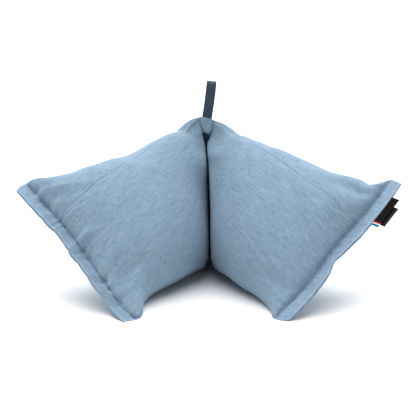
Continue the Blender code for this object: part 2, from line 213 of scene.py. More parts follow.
def read_table(rows, columns, name, at):
    """A column in mm as a cubic curve through its rows, with its neighbours' slope, in metres."""
    places = np.array([row[0] for row in rows])
    values = np.array([row[columns.index(name)] for row in rows], float)
    slopes = np.gradient(values, places)
    i = np.clip(np.searchsorted(places, at, side="right") - 1, 0, len(places) - 2)
    step = places[i + 1] - places[i]
    u = np.clip((at - places[i]) / step, 0, 1)
    start = (1 + 2 * u) * (1 - u) ** 2 * values[i] + u * (1 - u) ** 2 * step * slopes[i]
    end = u * u * (3 - 2 * u) * values[i + 1] + u * u * (u - 1) * step * slopes[i + 1]
    return (start + end) / 1000


def signed_power(value, power):
    """A power of the value's size, with the value's sign: below 1 it makes a wave squarer."""
    return np.sign(value) * np.abs(value) ** power


def keep_above(values, limit, rounding):
    """Values held at a limit or above it, joined by a parabola within this far of the limit."""
    over = values - limit
    turn = (over + rounding) ** 2 / (4 * rounding)
    return limit + np.where(over > rounding, over, np.where(over < -rounding, 0.0, turn))


def smooth_step(value):
    """From 0 to 1 and level at both ends: three squares less two cubes."""
    value = np.clip(value, 0, 1)
    return value * value * (3 - 2 * value)


HALVINGS = 40


def half_height(half_thickness):
    """Half the height of an ellipse that the tube's girth goes round, found by halving.

    round_it is the usual near-exact formula for the way round an ellipse.
    """
    low = np.zeros_like(half_thickness)
    high = np.full_like(half_thickness, GIRTH / 4)
    for _ in range(HALVINGS):
        middle = (low + high) / 2
        total = middle + half_thickness
        k = ((middle - half_thickness) / total) ** 2
        round_it = math.pi * total * (1 + 3 * k / (10 + np.sqrt(4 - 3 * k)))
        high = np.where(round_it > GIRTH, middle, high)
        low = np.where(round_it > GIRTH, low, middle)
    return middle


def fill(along):
    """The share of the full thickness: steep at both sewn lines, level at the peak.

    It is two curves multiplied, one for each line: 1 less a power of what is left of the way to
    the peak, to a power.
    """
    from_fold = np.clip(along / FILL_PEAK, 0, 1)
    from_flange = np.clip((1 - along) / (1 - FILL_PEAK), 0, 1)
    by_fold = (1 - (1 - from_fold) ** FOLD_SWELL[0]) ** FOLD_SWELL[1]
    return by_fold * (1 - (1 - from_flange) ** FLANGE_SWELL[0]) ** FLANGE_SWELL[1]


def side_sign(side):
    """1 on the right and -1 on the left."""
    return 1 if side == "right" else -1


def fold_line(side):
    """The top and bottom of the fold's sewn line on this side."""
    half = side_sign(side) * FOLD_WIDTH / 2
    top = np.array([half + FOLD_TOP_SHIFT, FOLD_TOP_BACK, FOLD_TOP[side]])
    return top, np.array([half + FOLD_FOOT_SHIFT, 0.0, -FLOOR_ROUNDING])


def flange_frame(side):
    """The flange's foot and ear on the stitched line, the way into the fill, and its front."""
    foot, ear = (np.array(corner) for corner in CORNERS[side])
    top, bottom = fold_line(side)
    outwards = unit((foot + ear) / 2 - (top + bottom) / 2)
    upwards = unit(ear - foot)
    inwards = -unit(outwards - np.dot(outwards, upwards) * upwards)
    foot, ear = foot - upwards * FOOT_SLANT[side], ear + upwards * EAR_SLANT[side]
    facing = unit(np.cross(unit(ear - foot), inwards)) * side_sign(side)
    return foot + inwards * FLANGE_WIDTH, ear + inwards * FLANGE_WIDTH, inwards, facing


def flange_point(side, up, out, lift):
    """A place on the flange: up it from foot to ear, out from its stitches, lifted off its face.

    It is a point of the straight stitched line, moved in by what the table gives, out, along
    the line by the slant, and off the face by the wave. Both grow as powers of the way out.
    """
    foot, ear, inwards, facing = flange_frame(side)
    stitches = read_table(FLANGE_ROWS, FLANGE_COLUMNS, side + "_stitches", up)
    edge = read_table(FLANGE_ROWS, FLANGE_COLUMNS, side + "_edge", up)
    wave = read_table(FLANGE_ROWS, FLANGE_COLUMNS, side + "_wave", up)
    share = np.minimum(out / FLANGE_WIDTH, 1.0)
    slant = (up * EAR_SLANT[side] - (1 - up) * FOOT_SLANT[side]) * share ** SLANT_POWER
    place = foot + up[..., None] * (ear - foot) - slant[..., None] * unit(ear - foot)
    place = place + (stitches + (edge - stitches) * share - out)[..., None] * inwards
    return place + (wave * share ** WAVE_POWER + lift)[..., None] * facing


def half_surface(side, along, turn):
    """One filled half: boxy ellipses of constant girth, carried along a bowed middle line.

    along is a column, 0 at the fold's stitches and 1 at the flange's. turn is a grid of angles
    that start at the top edge and go over the front. Each section's upright lies between the
    fold's and the flange's, turned evenly from one to the other. The outline's table, the
    creases, the drawn-in stitches and the settling are then added to it.
    """
    top, bottom = fold_line(side)
    foot, ear, inwards, _ = flange_frame(side)
    high, front = np.cos(turn), np.sin(turn)
    ends_half = (FOLD_THICKNESS + (STITCH_THICKNESS - FOLD_THICKNESS) * along) / 2
    thick = FULL_THICKNESS / 2 * fill(along) + ends_half
    gathered = 1 - np.linalg.norm(top - bottom) / FLAT_HEIGHT
    stretched = np.linalg.norm(ear - foot) / FLAT_HEIGHT - 1
    height = half_height(thick) * (1 - gathered * (1 - along) ** GATHER_POWER)
    height = height * (1 + stretched * along ** STRETCH_POWER)

    start, end = (top + bottom) / 2, (foot + ear) / 2
    pull = (start + end) / 2 + np.array(MIDDLE_BOW) * np.array([side_sign(side), 1, 1])
    middle = (1 - along) ** 2 * start + 2 * along * (1 - along) * pull + along ** 2 * end
    forwards = unit((1 - along) * (pull - start) + along * (end - pull))
    upright, leaning = unit(top - bottom), unit(ear - foot)
    lean = math.acos(float(np.dot(upright, leaning)))
    share = along ** LEAN_POWER
    up = (np.sin((1 - share) * lean) * upright + np.sin(share * lean) * leaning) / math.sin(lean)
    facing = unit(np.cross(up, forwards)) * -side_sign(side)

    top_shift = read_table(OUTLINE, OUTLINE_COLUMNS, side + "_top", along)
    bottom_shift = read_table(OUTLINE, OUTLINE_COLUMNS, side + "_bottom", along)
    rise = (height + np.where(high > 0, top_shift, bottom_shift)) * high
    settle = 1 - SAG * high * np.sin(np.pi * along)
    boxy = (1 - along) ** BOXY_POWER * smooth_step(FOOT_BOXINESS * (1 + high))
    power = SECTION_POWER - (SECTION_POWER - FOLD_POWER) * boxy
    swell = thick * signed_power(front, power) * settle
    length = np.linalg.norm(end - start)
    for name, at, degrees, *sizes in CREASES:
        if name == side:
            reach, width, deep = np.array(sizes) / 1000
            lengthwise = (along - at) * length / reach
            round_it = (turn - math.radians(degrees)) * FLAT_HEIGHT / math.pi / width
            trough = deep * np.exp(-CREASE_ENDS * lengthwise ** 2 - round_it ** 2)
            swell = swell - np.sign(front) * trough
    place = middle[:, None] + rise[..., None] * up[:, None] + swell[..., None] * facing[:, None]

    drawn = read_table(FLANGE_ROWS, FLANGE_COLUMNS, side + "_stitches", (high + 1) / 2)
    place = place + (along ** DRAWN_POWER * drawn)[..., None] * inwards
    pressed = np.sqrt(np.sin(np.pi * np.clip(along, 0, 1))) * np.exp(-place[..., 2] / SETTLE_REACH)
    place[..., 2] -= SETTLE_DEPTH * pressed
    return place


# The mesh follows the threads. Its rows go round the tube and its columns along it, and they
# lie closest where the cloth turns most, at the stitches and beside the closing seam.
ROWS_ALONG = 150
ROW_BUNCHING = 0.55
ROUND_SAMPLES = 720
SEAM_STEP, CLOTH_STEP, STEP_GROWTH = 0.0004, 0.0023, 0.12


def rows_along(count):
    """Shares of the way from fold to flange: even ones mixed with a cosine's, closer at both ends."""
    even = np.linspace(0, 1, count)
    return (ROW_BUNCHING * (0.5 - 0.5 * np.cos(np.pi * even)) + (1 - ROW_BUNCHING) * even)[:, None]


def thread_columns():
    """Places round the tube in metres from its seam, whose steps grow away from the seam."""
    steps = [0.0]
    while steps[-1] < FLAT_HEIGHT:
        steps.append(steps[-1] + min(CLOTH_STEP, SEAM_STEP + STEP_GROWTH * steps[-1]))
    half = np.array(steps) * FLAT_HEIGHT / steps[-1]
    return np.concatenate([half, GIRTH - half[-2:0:-1]])


def turns_of_threads(side, along, columns):
    """The turn of each grid point, and how far round from the top it is, measured on the cloth.

    Each ring is measured in small straight steps, and the turns are read off where the way
    round equals the seam's place plus the column's.
    """
    turn = np.linspace(0, 2 * np.pi, ROUND_SAMPLES + 1)
    rings = half_surface(side, along, np.broadcast_to(turn, (len(along), len(turn))))
    steps = np.linalg.norm(np.diff(rings, axis=1), axis=2)
    measured = np.concatenate([np.zeros((len(along), 1)), np.cumsum(steps, axis=1)], axis=1)
    measured *= GIRTH / measured[:, -1:]
    seam = read_table(SEAM_ROWS, SEAM_COLUMNS, side, along)
    round_it = np.mod(seam + columns, GIRTH)
    apart = 2 * GIRTH * np.arange(len(along))[:, None]       # keeps the rows from mixing
    turns = np.interp(round_it + apart, (measured + apart).ravel(), np.tile(turn, len(along)))
    return turns, round_it


def bell_shares(places, count, width, closed):
    """Each place's share of every grid point: a bell of this width, all adding up to 1."""
    gap = places[:, None] - np.arange(count)
    if closed:
        gap = np.mod(gap + count / 2, count) - count / 2
    bell = np.exp(-(gap / width) ** 2 / 2)
    return bell / bell.sum(axis=1, keepdims=True)


def read_field(field, row_places, column_places, width):
    """A closed grid's values, blended over this many steps, at other places on it."""
    down = bell_shares(row_places, field.shape[0], width, False)
    across = bell_shares(column_places, field.shape[1], width, True)
    return np.einsum("ri,ijk,cj->rck", down, field, across)


# The cloth was cut a little larger than the shape it now holds. Simulated, the fill presses it
# outwards while its sewn lines hold it, and the spare cloth wrinkles beside them.
CLOTH_ROWS, CLOTH_COLUMNS = 56, 100
SPARE_CLOTH = 0.035
PRESSURE = 1.0
CLOTH_FRAMES = 14
WRINKLE_CAP, WRINKLE_SHARE = 0.004, 0.35
BROAD_WIDTH, FINE_WIDTH = 5.0, 0.6
BROAD_SHARE = 0.15
WRINKLES_FROM, WRINKLES_FULL = 0.06, 0.45     # shares of the way from fold to flange
NO_MOVE = 1e-9                                # keeps the cap's division from one by nothing


def simulate_wrinkles():
    """How far cloth under pressure moves off both half surfaces, as two coarse fields."""
    along = np.linspace(0, 1, CLOTH_ROWS)[:, None]
    columns = GIRTH * np.arange(CLOTH_COLUMNS) / CLOTH_COLUMNS
    start = []
    for side in ("left", "right"):
        turns, _ = turns_of_threads(side, along, columns)
        start.append(half_surface(side, along, turns).reshape(-1, 3))
    start = np.concatenate(start)
    faces = grid_faces(CLOTH_ROWS, CLOTH_COLUMNS)
    faces = np.concatenate([faces[:, ::-1], faces + CLOTH_ROWS * CLOTH_COLUMNS])
    mesh = bpy.data.meshes.new("cloth")
    mesh.from_pydata(start.tolist(), [], faces.tolist())
    cloth = bpy.data.objects.new("cloth", mesh)
    bpy.context.scene.collection.objects.link(cloth)
    sewn = cloth.vertex_groups.new(name="sewn")
    ends = np.zeros((2, CLOTH_ROWS, CLOTH_COLUMNS), bool)
    ends[:, 0] = ends[:, -1] = True
    sewn.add(np.flatnonzero(ends).tolist(), 1.0, "REPLACE")
    modifier = cloth.modifiers.new("cloth", "CLOTH")
    settings = modifier.settings
    settings.quality = 5
    settings.mass = 0.01
    settings.tension_stiffness = settings.compression_stiffness = 15
    settings.shear_stiffness = 5
    settings.bending_stiffness = 0.05
    settings.tension_damping = settings.compression_damping = settings.shear_damping = 1.0
    settings.shrink_min = -SPARE_CLOTH
    settings.use_pressure = True
    settings.uniform_pressure_force = PRESSURE
    settings.effector_weights.gravity = 0.0
    settings.vertex_group_mass = "sewn"
    modifier.point_cache.frame_start, modifier.point_cache.frame_end = 1, CLOTH_FRAMES
    for moment in range(1, CLOTH_FRAMES + 1):
        bpy.context.scene.frame_set(moment)
    graph = bpy.context.evaluated_depsgraph_get()
    settled = np.empty(len(mesh.vertices) * 3, np.float32)
    cloth.evaluated_get(graph).data.vertices.foreach_get("co", settled)
    bpy.context.scene.frame_set(1)
    bpy.data.objects.remove(cloth)
    return (settled.reshape(-1, 3) - start).reshape(2, CLOTH_ROWS, CLOTH_COLUMNS, 3)


def keep_wrinkles(moved):
    """A half's moves without most of their broad part, which is its fullness, and capped.

    They fade out towards the fold. The cap is a hyperbolic tangent of each move's size.
    """
    broad = read_field(moved, np.arange(CLOTH_ROWS), np.arange(CLOTH_COLUMNS), BROAD_WIDTH)
    kept = moved - broad + BROAD_SHARE * broad
    along = np.linspace(0, 1, CLOTH_ROWS)[:, None, None]
    off_fold = smooth_step((along - WRINKLES_FROM) / (WRINKLES_FULL - WRINKLES_FROM))
    kept = kept * WRINKLE_SHARE * off_fold
    size = np.maximum(np.linalg.norm(kept, axis=-1, keepdims=True), NO_MOVE)
    return kept * np.tanh(size / WRINKLE_CAP) * WRINKLE_CAP / size


def grid_faces(count, around):
    """Four-sided faces over rows of points that close on themselves."""
    i, j = np.meshgrid(np.arange(count - 1), np.arange(around), indexing="ij")
    k = (j + 1) % around
    corners = [i * around + j, i * around + k, (i + 1) * around + k, (i + 1) * around + j]
    return np.stack(corners, axis=-1).reshape(-1, 4)


def grid_normals(place):
    """The direction square to a closed grid at each point, from its neighbours' differences.

    It points out of the cloth where the grid runs from the fold to the right.
    """
    along = np.gradient(place, axis=0)
    round_it = np.roll(place, -1, axis=1) - np.roll(place, 1, axis=1)
    return unit(np.cross(round_it, along))


# Tucks run off the sewn lines, where more cloth is caught than the line is long.
TUCK_PLACES = (0.1, 0.9)                     # within a tuck's even share of the line
TUCK_WIDTHS = (0.0022, 0.0050)
TUCK_LENGTHS, TUCK_DEPTHS = (0.4, 1.7), (0.3, 1.0)
TUCK_SLANTS = (-0.4, 0.4)
EDGE_FADE = 4


def make_tucks(seed, count, depth, reach):
    """Tucks at uneven places down a sewn line: place, width, length, depth and slant of each."""
    draw = np.random.default_rng(seed)
    place = (np.arange(count) + draw.uniform(*TUCK_PLACES, count)) / count * FLAT_HEIGHT
    width = draw.uniform(*TUCK_WIDTHS, count)
    length = draw.uniform(*TUCK_LENGTHS, count) * reach
    deep = depth * draw.uniform(*TUCK_DEPTHS, count) * draw.choice((-1, 1), count)
    slant = draw.uniform(*TUCK_SLANTS, count)
    return place, width, length, deep, slant


def off_edges(down):
    """The share of a wrinkle that shows: all of it, but none at the tube's top and bottom.

    It is a sine of the way down, made steeper and cut off at 1.
    """
    return np.clip(EDGE_FADE * np.sin(np.pi * down / FLAT_HEIGHT), 0, 1)


def tuck_lift(tucks, down, distance):
    """The lift at a distance from the line: a bell across each tuck that dies away along it."""
    place, width, length, deep, slant = tucks
    across = (down[..., None] - place - slant * distance[..., None]) / width
    bells = deep * np.exp(-across ** 2 - distance[..., None] / length)
    return bells.sum(axis=-1) * off_edges(down)


# seed, count, depth and reach
FLANGE_TUCKS = {"left": make_tucks(5, 22, 0.0031, 0.017), "right": make_tucks(8, 15, 0.0009, 0.015)}
BODY_TUCKS = {"left": make_tucks(17, 9, 0.0020, 0.026), "right": make_tucks(23, 8, 0.0020, 0.024)}
FOLD_TUCKS = {"left": make_tucks(3, 16, 0.0020, 0.022), "right": make_tucks(12, 16, 0.0020, 0.020)}
BODY_TUCK_START = 0.004

# The closing seam and the stitches draw the cloth in, and each flange has this section
SEAM_DEPTH, SEAM_SOFTNESS = 0.0008, 0.0011
STITCH_OUT = 0.0012
STITCH_SINK, STITCH_SINK_WIDTH = 0.0007, 0.0013
FLANGE_PROFILE = np.array([
    # out past the stitches and half thickness, in mm: the turned edge is a ridge past 16 mm
    (0.8, 1.60),
    (1.6, 1.65),
    (2.6, 1.75),
    (4.0, 1.95),
    (6.0, 2.20),
    (8.5, 2.20),
    (11.0, 2.20),
    (13.0, 2.20),
    (15.0, 2.15),
    (16.0, 1.90),
    (17.0, 2.30),
    (17.8, 2.45),
    (18.6, 2.35),
]) / 1000
HEM_EDGE = np.array([
    # the same on round the edge and into the slit between its two layers
    (19.4, 2.10),
    (19.85, 1.75),
    (20.0, 1.20),
    (19.8, 0.65),
    (19.2, 0.35),
    (17.0, 0.22),
]) / 1000


def drawn_in(past):
    """How deep the stitches draw the cloth in, at a distance past the flange's line: a bell."""
    return STITCH_SINK * np.exp(-((past - STITCH_OUT) / STITCH_SINK_WIDTH) ** 2)


def half_rows(side, columns, moved):
    """Half the cover's rows, from the fold's stitches to the slit in the flange's edge.

    The half's surface takes its wrinkles, then a lift for its tucks, its seam and its stitches.
    The flange goes on from it. Both are then held off the floor and off the other half.
    """
    along = rows_along(ROWS_ALONG)
    turns, round_it = turns_of_threads(side, along, columns)
    place = half_surface(side, along, turns)
    front = round_it < FLAT_HEIGHT
    down = np.where(front, round_it, GIRTH - round_it)
    if moved is not None:
        row_places = along[:, 0] * (CLOTH_ROWS - 1)
        column_places = columns / GIRTH * CLOTH_COLUMNS
        moved = read_field(moved, row_places, column_places, FINE_WIDTH)
        place = place + moved * off_edges(down)[..., None]
    length = np.linalg.norm(np.diff(place, axis=0), axis=2).mean(axis=1)
    reach = np.concatenate([[0], np.cumsum(length)])[:, None]
    to_flange = reach[-1] - reach

    from_seam = np.minimum(columns, GIRTH - columns)
    seam_dip = SEAM_DEPTH * np.exp(-from_seam / SEAM_SOFTNESS)
    off_flange = 1 - np.exp(-to_flange / BODY_TUCK_START)
    body_tucks = tuck_lift(BODY_TUCKS[side], down, to_flange) * off_flange
    lift = tuck_lift(FLANGE_TUCKS[side], down, to_flange) + body_tucks
    lift = lift + tuck_lift(FOLD_TUCKS[side], down, reach)
    lift = np.where(front, lift, -lift) - seam_dip - drawn_in(-to_flange)
    place = place + lift[..., None] * grid_normals(place) * side_sign(side)

    last = turns[-1]
    up, face = (np.cos(last) + 1) / 2, signed_power(np.sin(last), FLANGE_BOXINESS)
    outs, halves = np.concatenate([FLANGE_PROFILE, HEM_EDGE]).T[..., None]
    waves = tuck_lift(FLANGE_TUCKS[side], np.broadcast_to(down[-1], (len(outs), len(last))), outs)
    outside = np.arange(len(outs))[:, None] < len(FLANGE_PROFILE)
    seam_dips = np.where((face > 0) & outside, seam_dip, 0.0)
    lifts = face * (halves - drawn_in(outs)) + waves - seam_dips
    up, outs = np.broadcast_arrays(up, outs)
    place = np.concatenate([place, flange_point(side, up, outs, lifts)])

    sign = side_sign(side)
    rise = np.clip(place[..., 2] / FOLD_TOP[side], 0, 1)
    contact = CONTACT_FOOT + (CONTACT_TOP - CONTACT_FOOT) * rise ** CONTACT_POWER
    corner = TOP_CORNER + (FOOT_CORNER[side] - TOP_CORNER) * (1 - rise) ** CORNER_POWER
    gap = np.interp(rise, CONTACT_RISE, CONTACT_GAP)
    place[..., 0] = contact + sign * keep_above(sign * (place[..., 0] - contact), gap, corner)
    place[..., 2] = keep_above(place[..., 2], 0.0, FLOOR_ROUNDING)
    past = np.concatenate([-to_flange[:, 0], outs[:, 0]])
    return place, past, turns


# The band between the fold's two sewn lines. It is raised under the loop, where the tape's ends
# thicken it, puffs forwards just below, and is drawn back where the two halves close over it.
FOLD_STEPS = np.array([0.9, 1.7, 2.4, 3.1, 4.2, 5.6, 7.0, 8.4, 9.8, 11.2]) / 1000
FOLD_STITCH_ROW = 2
FOLD_RISE, FOLD_RISE_REACH, FOLD_LIP = 0.0016, 0.025, 0.0012
LIP_THICKNESS, LIP_BOXINESS = 0.0028, 0.15
FOLD_DRAWN, FOLD_DRAWN_FROM, FOLD_DRAWN_OVER = 0.022, 0.018, 0.010
FOLD_DRAWN_ABOVE, FOLD_DRAWN_POWER = 0.170, 2
FOLD_PUFF, FOLD_PUFF_DOWN, FOLD_PUFF_WIDTH = 0.0085, 0.016, 0.008
FOLD_CREASE, FOLD_CREASE_WIDTH = 0.0022, 0.0016
PUCKER_DEPTH, PUCKER_PITCH, PUCKER_SLANT = 0.0010, 0.011, 1.6


def fold_band(left, right, turns):
    """The band's rows: straight across from ring to ring, then moved by what follows.

    arch is a parabola over the band's width. Under the loop the band rises and thickens by its
    root and puckers by a slanting sine. The puff is a bell down the band times the arch. It is
    drawn back by the arch, between two smooth steps, and sinks in a bell at both stitched rows.
    """
    across = np.concatenate([FOLD_STEPS, FOLD_WIDTH - FOLD_STEPS[-2::-1]])[:, None]
    share = across / FOLD_WIDTH
    band = left + (right - left) * share[..., None]
    arch = 4 * share * (1 - share)
    depth = band[..., 2].max(axis=1, keepdims=True) - band[..., 2]
    near_top = smooth_step(1 - depth / FOLD_RISE_REACH)
    under_loop = np.sqrt(arch) * near_top
    puckers = np.sin(2 * np.pi * (depth / PUCKER_PITCH + PUCKER_SLANT * share))
    puckers = PUCKER_DEPTH * under_loop * puckers
    drawn_back = arch * smooth_step((depth - FOLD_DRAWN_FROM) / FOLD_DRAWN_OVER)
    high_up = smooth_step(band[..., 2] / FOLD_DRAWN_ABOVE) ** FOLD_DRAWN_POWER
    drawn_back = FOLD_DRAWN * drawn_back * high_up
    off_stitches = np.minimum(across, FOLD_WIDTH - across) - FOLD_STEPS[FOLD_STITCH_ROW]
    sunk = FOLD_CREASE * np.exp(-(off_stitches / FOLD_CREASE_WIDTH) ** 2)
    puffed = FOLD_PUFF * arch * np.exp(-((depth - FOLD_PUFF_DOWN) / FOLD_PUFF_WIDTH) ** 2)
    face, lip = signed_power(np.sin(turns), FOLD_POWER), signed_power(np.sin(turns), LIP_BOXINESS)
    thicker = under_loop * ((FOLD_THICKNESS / 2 + LIP_THICKNESS) * lip - FOLD_THICKNESS / 2 * face)
    band[..., 2] += under_loop * (FOLD_RISE + FOLD_LIP * np.maximum(lip, 0))
    band[..., 1] += drawn_back + puckers + sunk * face - thicker - puffed * face
    return band, share[:, 0]


def slit_faces(turns, first):
    """Triangles that close a flattened ring: each point joins the last ones before it.

    The points are taken from the ear down. A new one makes a triangle with the lowest point so
    far on the front edge and on the back edge.
    """
    turn = np.mod(turns, 2 * np.pi)
    back = turn > np.pi
    order = np.argsort(np.where(back, 2 * np.pi - turn, turn))
    back = back[order]
    rank = np.arange(len(order))
    front_so_far = np.maximum(np.maximum.accumulate(np.where(back, -1, rank)), np.argmin(back))
    back_so_far = np.maximum(np.maximum.accumulate(np.where(back, rank, -1)), np.argmax(back))
    corners = np.stack([front_so_far[:-1], back_so_far[:-1], rank[1:]], axis=1)
    whole = (corners[:, 2] != corners[:, 0]) & (corners[:, 2] != corners[:, 1])
    return order[corners[whole]] + first


def new_piece(name, points, faces, uv=None, wrap=0.0):
    """A smooth mesh at the origin that rides with the pillow.

    uv gives two lengths in metres for each point. wrap is how far the second runs before it
    starts again at nothing, and a face that spans the two takes the far end.
    """
    mesh = bpy.data.meshes.new(name)
    mesh.from_pydata(np.asarray(points).tolist(), [], faces)
    mesh.shade_smooth()
    if uv is not None:
        corners = np.empty(len(mesh.loops), np.int32)
        mesh.loops.foreach_get("vertex_index", corners)
        sizes = np.empty(len(mesh.polygons), np.int32)
        mesh.polygons.foreach_get("loop_total", sizes)
        threads = np.asarray(uv, np.float32)[corners]
        if wrap:
            owner = np.repeat(np.arange(len(sizes)), sizes)
            widest = np.zeros(len(sizes), np.float32)
            np.maximum.at(widest, owner, threads[:, 1])
            threads[:, 1] += np.where(widest[owner] - threads[:, 1] > wrap / 2, wrap, 0)
        layer = mesh.uv_layers.new(name="threads")
        layer.data.foreach_set("uv", threads.ravel())
    piece = bpy.data.objects.new(name, mesh)
    bpy.context.scene.collection.objects.link(piece)
    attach(piece, "root")
    return piece


columns = thread_columns()
wrinkles = {"left": None, "right": None}
moves = simulate_wrinkles()
wrinkles = {"left": keep_wrinkles(moves[0]), "right": keep_wrinkles(moves[1])}

left, left_past, left_turns = half_rows("left", columns, wrinkles["left"])
right, right_past, right_turns = half_rows("right", columns, wrinkles["right"])
band, share = fold_band(left[0], right[0], left_turns[0])
cloth = np.concatenate([left[::-1], band, right])

# reach runs along the threads from the fold's middle, and past tells how far outside the
# flange's stitches a row lies
left_end, right_end = left_past[0] - FOLD_WIDTH / 2, right_past[0] - FOLD_WIDTH / 2
band_reach = FOLD_WIDTH * (share - 0.5)
reach = np.concatenate([(left_end - left_past)[::-1], band_reach, right_past - right_end])
past = np.concatenate([left_past[::-1], np.full(len(share), left_past[0]), right_past])
around = len(columns)
points = cloth.reshape(-1, 3) + (FOLD_X, FOLD_Y, 0)
faces = grid_faces(len(cloth), around).tolist()
faces += slit_faces(left_turns[-1], 0).tolist()
faces += slit_faces(right_turns[-1], len(points) - around)[:, ::-1].tolist()
uv = np.stack(np.broadcast_arrays(reach[:, None], columns), axis=-1).reshape(-1, 2)
cover = new_piece("pillow_cover", points, faces, uv, GIRTH)
layer = cover.data.attributes.new("past_stitches", "FLOAT", "POINT")
layer.data.foreach_set("value", np.repeat(past, around).astype(np.float32))
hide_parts("pillow_body")


def colour(code):
    """An sRGB hex code as linear red, green and blue with alpha 1."""
    parts = np.array([int(code[i:i + 2], 16) for i in (1, 3, 5)]) / 255
    linear = np.where(parts <= 0.04045, parts / 12.92, ((parts + 0.055) / 1.055) ** 2.4)
    return (*linear.tolist(), 1.0)


def add_node(tree, kind, sockets=None, **settings):
    """A node with its settings. sockets gives each input a value or the output linked to it."""
    made = tree.nodes.new(kind)
    for key, value in settings.items():
        setattr(made, key, value)
    for key, value in (sockets or {}).items():
        if isinstance(value, bpy.types.NodeSocket):
            tree.links.new(value, made.inputs[key])
        else:
            made.inputs[key].default_value = value
    return made


def new_material(name):
    """An empty node material, its tree and its Principled shader."""
    material = bpy.data.materials.new(name)
    material.use_nodes = True
    return material, material.node_tree, material.node_tree.nodes["Principled BSDF"]


def thread_noise(tree, long_way, round_way, detail):
    """Noise on a piece's threads, drawn out to these sizes along it and round it."""
    threads = add_node(tree, "ShaderNodeUVMap", uv_map="threads").outputs[0]
    scale = {"Vector": threads, "Scale": (1 / long_way, 1 / round_way, 1)}
    placed = add_node(tree, "ShaderNodeMapping", scale).outputs[0]
    sockets = {"Vector": placed, "Scale": 1.0, "Detail": detail, "Roughness": 0.6}
    return add_node(tree, "ShaderNodeTexNoise", sockets, noise_dimensions="2D").outputs[0]


# Slub chambray, plain woven of a blue yarn along the tube and a pale one round it. Both yarns
# are uneven, which gives the eye short streaks both ways over a dry, slightly hazy face.
YARN_STEP = 0.0010                     # real yarns are 0.5 mm apart; drawn coarser so they show
SLUB_LENGTH, CROSS_SLUB_LENGTH = 0.022, 0.009
CLOUD_SIZES = (0.045, 0.030)           # broad unevenness, along the tube and round it
CLOTH_DETAIL = 3.0
CLOUD_WEIGHT, CROSS_SLUB_WEIGHT, SLUB_WEIGHT = 0.25, 1.15, 1.4
PALE_SHARE = -0.9                      # added to the weighted sum: the higher, the paler
BLUE_YARN, PALE_YARN = "#61819d", "#99b1c3"

chambray, tree, shader = new_material("slub chambray")
slubs = thread_noise(tree, SLUB_LENGTH, YARN_STEP, CLOTH_DETAIL)
cross_slubs = thread_noise(tree, YARN_STEP, CROSS_SLUB_LENGTH, CLOTH_DETAIL)
clouds = thread_noise(tree, *CLOUD_SIZES, CLOTH_DETAIL)
mixed = PALE_SHARE
for field, weight in (
    (clouds, CLOUD_WEIGHT), (cross_slubs, CROSS_SLUB_WEIGHT), (slubs, SLUB_WEIGHT),
):
    sockets = {0: field, 1: weight, 2: mixed}
    mixed = add_node(tree, "ShaderNodeMath", sockets, operation="MULTIPLY_ADD").outputs[0]
ends = {"Factor": mixed, "A": colour(BLUE_YARN), "B": colour(PALE_YARN)}
yarns = add_node(tree, "ShaderNodeMix", ends, data_type="RGBA", clamp_factor=True)

# The flange's turned edge has a painted highlight, a pale line along its fold where it catches light,
# and is finely puckered.
PAINTED_EDGE_HIGHLIGHT = "#b7c8d8"
HEM_LINE = 0.0175
PALE_CORE, PALE_REACH, PALE_STRENGTH = 0.0005, 0.0016, 0.25
PUCKERS_FROM, PUCKERS_FULL = 0.008, 0.019
HEM_PUCKER_SIZES = (0.020, 0.0022)
puckers = thread_noise(tree, *HEM_PUCKER_SIZES, CLOTH_DETAIL)
past = add_node(tree, "ShaderNodeAttribute", attribute_name="past_stitches").outputs["Fac"]
off_line = add_node(tree, "ShaderNodeMath", {0: past, 1: -HEM_LINE}, operation="ADD")
off_line = add_node(tree, "ShaderNodeMath", {0: off_line.outputs[0]}, operation="ABSOLUTE")
# the painted highlight's strength: full on the hem's line, gone past its reach
pale = add_node(
    tree, "ShaderNodeMapRange",
    {
        "Value": off_line.outputs[0], "From Min": PALE_CORE, "From Max": PALE_REACH,
        "To Min": PALE_STRENGTH, "To Max": 0.0,
    },
    interpolation_type="SMOOTHSTEP",
)
# the yarns' colour with the painted highlight mixed in
ends = {"Factor": pale.outputs[0], "A": yarns.outputs["Result"], "B": colour(PAINTED_EDGE_HIGHLIGHT)}
shown = add_node(tree, "ShaderNodeMix", ends, data_type="RGBA")
tree.links.new(shown.outputs["Result"], shader.inputs["Base Color"])
on_hem = add_node(
    tree, "ShaderNodeMapRange", {"Value": past, "From Min": PUCKERS_FROM, "From Max": PUCKERS_FULL},
    interpolation_type="SMOOTHSTEP",
)
hem_height = add_node(tree, "ShaderNodeMath", {0: puckers, 1: on_hem.outputs[0]}, operation="MULTIPLY")
hem_bump = add_node(
    tree, "ShaderNodeBump", {"Height": hem_height.outputs[0], "Strength": 0.8, "Distance": 0.0008},
)
height = add_node(tree, "ShaderNodeMath", {0: slubs, 1: cross_slubs}, operation="ADD")
bump = add_node(
    tree, "ShaderNodeBump",
    {"Height": height.outputs[0], "Strength": 0.5, "Distance": 0.0006, "Normal": hem_bump.outputs[0]},
)
tree.links.new(bump.outputs[0], shader.inputs["Normal"])
shader.inputs["Roughness"].default_value = 0.88
shader.inputs["Sheen Weight"].default_value = 0.15
shader.inputs["Sheen Roughness"].default_value = 0.5
cover.data.materials.append(chambray)

# The sewing
# Lock stitches of matching polyester thread, 3 mm long, on both faces. They run down each
# flange, close to where it meets the fill, and down both edges of the fold's flat band.
STITCH_PITCH, STITCH_LENGTH = 0.0036, 0.0030
THREAD_RADIUS = 0.00030
STITCH_RINGS, STITCH_SIDES = 7, 6
LAST_RING, BEAD_POWER = 0.92, 4
DIP, DIP_POWER = 0.6, 3                # as a share of the thread's radius
STITCH_PROUD = 0.00005


